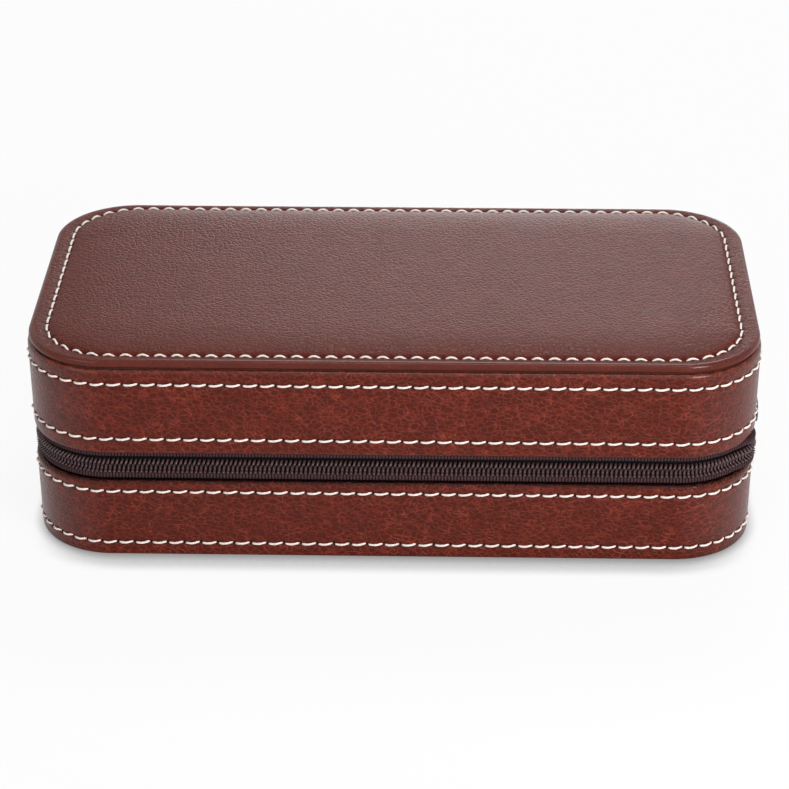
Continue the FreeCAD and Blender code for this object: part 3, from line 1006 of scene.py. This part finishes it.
class OBJECT_OT_watch_box_cushions(bpy.types.Operator):
    """Makes the three suede cushions that the watches are worn on"""
    bl_idname = "object.watch_box_cushions"
    bl_label = "Cushions"

    def execute(self, context):
        lowest, highest = (np.array(c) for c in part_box("cushion_middle_cover"))
        half = (highest - lowest) / 2
        mesh = bpy.data.meshes.new("cushion_start")
        work = bmesh.new()
        bmesh.ops.create_cube(work, size=2)
        bmesh.ops.scale(work, vec=(half * CUSHION_START).tolist(), verts=work.verts)
        bmesh.ops.bevel(work, geom=work.edges[:], offset=CUSHION_ROUNDING, segments=4, affect="EDGES",
                        profile=0.5)
        work.to_mesh(mesh)
        work.free()
        start = add_object("cushion_start", mesh)
        shape = swell(start)
        scale = half / np.abs(shape).max(axis=0)
        shape = shape * np.minimum(scale, 1.02)
        seam = np.exp(-((np.abs(shape[:, 0]) - half[0] * CUSHION_SEAM) / CUSHION_SEAM_WIDTH) ** 2)[:, None]
        shape[:, 1:] *= 1 - CUSHION_SEAM_DIP * seam
        shape[:, 2] = np.maximum(shape[:, 2], -half[2] + CUSHION_FOOT)
        faces = [list(p.vertices) for p in start.data.polygons]
        bpy.data.objects.remove(start)
        piping, piping_faces = cushion_piping(BVHTree.FromPolygons(shape.tolist(), faces), half)
        piping[:, 2] = np.maximum(piping[:, 2], -half[2] + CUSHION_FOOT)
        suede = brushed_suede("microfibre_suede_brushed_cushion", colours().cushion)
        for place in ("left", "middle", "right"):
            lowest, highest = (np.array(c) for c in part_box("cushion_" + place + "_cover"))
            middle = (lowest + highest) / 2
            body = "cushion_" + place
            cushion = make_piece("watch_cushion_" + place, shape + middle, faces, suede, body,
                                 [body + "_cover", body + "_filling"])
            smooth = cushion.modifiers.new("round", "SUBSURF")
            smooth.render_levels = 1
            make_piece("cushion_piping_" + place, piping + middle, piping_faces, lining_suede(), body)
        return {"FINISHED"}


# Boards and underside

class OBJECT_OT_watch_box_boards(bpy.types.Operator):
    """Finishes the boards inside the walls and the leather underside"""
    bl_idname = "object.watch_box_boards"
    bl_label = "Boards and underside"

    def execute(self, context):
        for node in ("base_floor_board", "base_wall_core", "lid_wall_core", "lid_top_board"):
            dress_node(node, pressed_board())
        dress_node("base_bottom_cover", wall_leather(), bevel=0.3 * MM)
        return {"FINISHED"}


# Stage

def place_camera(scene):
    """Camera at the photograph's angle."""
    data = bpy.data.cameras.new("camera")
    data.lens = CAMERA_LENS
    data.sensor_width = 36
    data.shift_x, data.shift_y = CAMERA_SHIFT
    data.clip_start = 0.01
    camera = add_object("camera", data)
    a, e = CAMERA_AZIMUTH, CAMERA_ELEVATION
    back = np.array([math.sin(a) * math.cos(e), -math.cos(a) * math.cos(e), math.sin(e)])
    camera.location = (back * CAMERA_DISTANCE + np.array([0, 0, AIM_HEIGHT])).tolist()
    camera.rotation_euler = (math.pi / 2 - e, 0, a)
    camera.rotation_euler.rotate_axis("Z", CAMERA_ROLL)
    scene.camera = camera


def area_light(name, place, target, size, power):
    """Soft box that points at a spot."""
    data = bpy.data.lights.new(name, "AREA")
    data.shape = "RECTANGLE"
    data.size, data.size_y = size
    data.energy = power
    light = add_object(name, data)
    light.location = place
    light.visible_camera = False
    away = np.subtract(place, target)
    flat = math.hypot(away[0], away[1])
    light.rotation_euler = (math.atan2(flat, away[2]), 0, math.atan2(away[0], -away[1]))


def seen_ray(tree):
    """1 for a ray from the eye, off a shiny surface or through glass, 0 for other light."""
    path = add_node(tree, "LightPath")
    shiny = combined(tree, "MAXIMUM", path.outputs["Is Camera Ray"], path.outputs["Is Glossy Ray"])
    return combined(tree, "MAXIMUM", shiny, path.outputs["Is Transmission Ray"])


def contact_shade(tree, reach, toward, opening, darkest):
    """1 on open floor, darker close to the object where it covers the view in one direction."""
    facing = add_node(tree, "CombineXYZ", {"X": toward[0], "Y": toward[1], "Z": toward[2]})
    near = add_node(tree, "AmbientOcclusion", {"Distance": reach, "Normal": facing.outputs["Vector"]})
    return ranged(tree, near.outputs["AO"], (darkest, 1.0), opening)


def studio_paper():
    """Pale paper: white to the eye, with a soft shadow where the object stands."""
    paper = bpy.data.materials.new("studio_paper")
    tree = empty_tree(paper)
    matt = add_node(tree, "BsdfDiffuse", {"Color": (0.8, 0.8, 0.8, 1)})
    before = contact_shade(tree, reach=12 * MM, toward=(0, 1, 0), opening=(0.5, 0.765), darkest=0.5)
    under = contact_shade(tree, reach=4 * MM, toward=(0, 0, 1), opening=(0.5, 0.95), darkest=0.6)
    glow = combined(tree, "MULTIPLY", before, under)
    white = add_node(tree, "Emission", {"Color": (1, 1, 1, 1), "Strength": glow})
    share = combined(tree, "MULTIPLY", seen_ray(tree), FLOOR_SEEN)
    both = add_node(tree, "MixShader", {0: share, 1: matt.outputs["BSDF"], 2: white.outputs["Emission"]})
    add_node(tree, "OutputMaterial", {"Surface": both.outputs["Shader"]})
    return paper


def studio_world():
    """White surroundings that light the object only a little."""
    world = bpy.data.worlds.new("studio")
    tree = empty_tree(world)
    level = ranged(tree, seen_ray(tree), (WORLD_LIGHT, linear(BACKGROUND)[0]))
    light = add_node(tree, "Background", {"Color": (1, 1, 1, 1), "Strength": level})
    add_node(tree, "OutputWorld", {"Surface": light.outputs["Background"]})
    return world


class OBJECT_OT_watch_box_stage(bpy.types.Operator):
    """Sets the pale floor, the soft light and the camera"""
    bl_idname = "object.watch_box_stage"
    bl_label = "Stage"

    def execute(self, context):
        scene = context.scene
        place_camera(scene)
        for name, place, aim, size, power in LIGHTS:
            area_light(name, place, (0, 0, aim), size, power)
        mesh = bpy.data.meshes.new("floor")
        square = ((-1, -1), (1, -1), (1, 1), (-1, 1))
        corners = [(x * FLOOR_REACH, y * FLOOR_REACH, FLOOR_LEVEL) for x, y in square]
        mesh.from_pydata(corners, [], [(0, 1, 2, 3)])
        mesh.materials.append(studio_paper())
        floor = add_object("floor", mesh)
        scene.world = studio_world()
        scene.view_settings.view_transform = "Standard"
        return {"FINISHED"}


OPERATORS = (OBJECT_OT_watch_box_leather_walls, OBJECT_OT_watch_box_panel, OBJECT_OT_watch_box_stitching,
             OBJECT_OT_watch_box_zip, OBJECT_OT_watch_box_zip_metal, OBJECT_OT_watch_box_hinge,
             OBJECT_OT_watch_box_lining, OBJECT_OT_watch_box_cushions, OBJECT_OT_watch_box_boards,
             OBJECT_OT_watch_box_stage)


class VIEW3D_PT_watch_box(bpy.types.Panel):
    """Lists the steps that dress the watch box"""
    bl_label = "Watch box"
    bl_idname = "VIEW3D_PT_watch_box"
    bl_space_type = "VIEW_3D"
    bl_region_type = "UI"
    bl_category = "Watch box"

    def draw(self, context):
        for group in (context.scene.watch_box_sizes, context.scene.watch_box_colours):
            for name in group.__annotations__:
                self.layout.prop(group, name)
        for operator in OPERATORS:
            self.layout.operator(operator.bl_idname)


CLASSES = (WatchBoxSizes, WatchBoxColours) + OPERATORS + (VIEW3D_PT_watch_box,)


def register():
    for kind in CLASSES:
        bpy.utils.register_class(kind)
    bpy.types.Scene.watch_box_sizes = bpy.props.PointerProperty(type=WatchBoxSizes)
    bpy.types.Scene.watch_box_colours = bpy.props.PointerProperty(type=WatchBoxColours)


def unregister():
    del bpy.types.Scene.watch_box_colours
    del bpy.types.Scene.watch_box_sizes
    for kind in reversed(CLASSES):
        bpy.utils.unregister_class(kind)


def main():
    register()
    for operator in OPERATORS:
        group, name = operator.bl_idname.split(".")
        getattr(getattr(bpy.ops, group), name)()


if __name__ == "__main__":
    main()
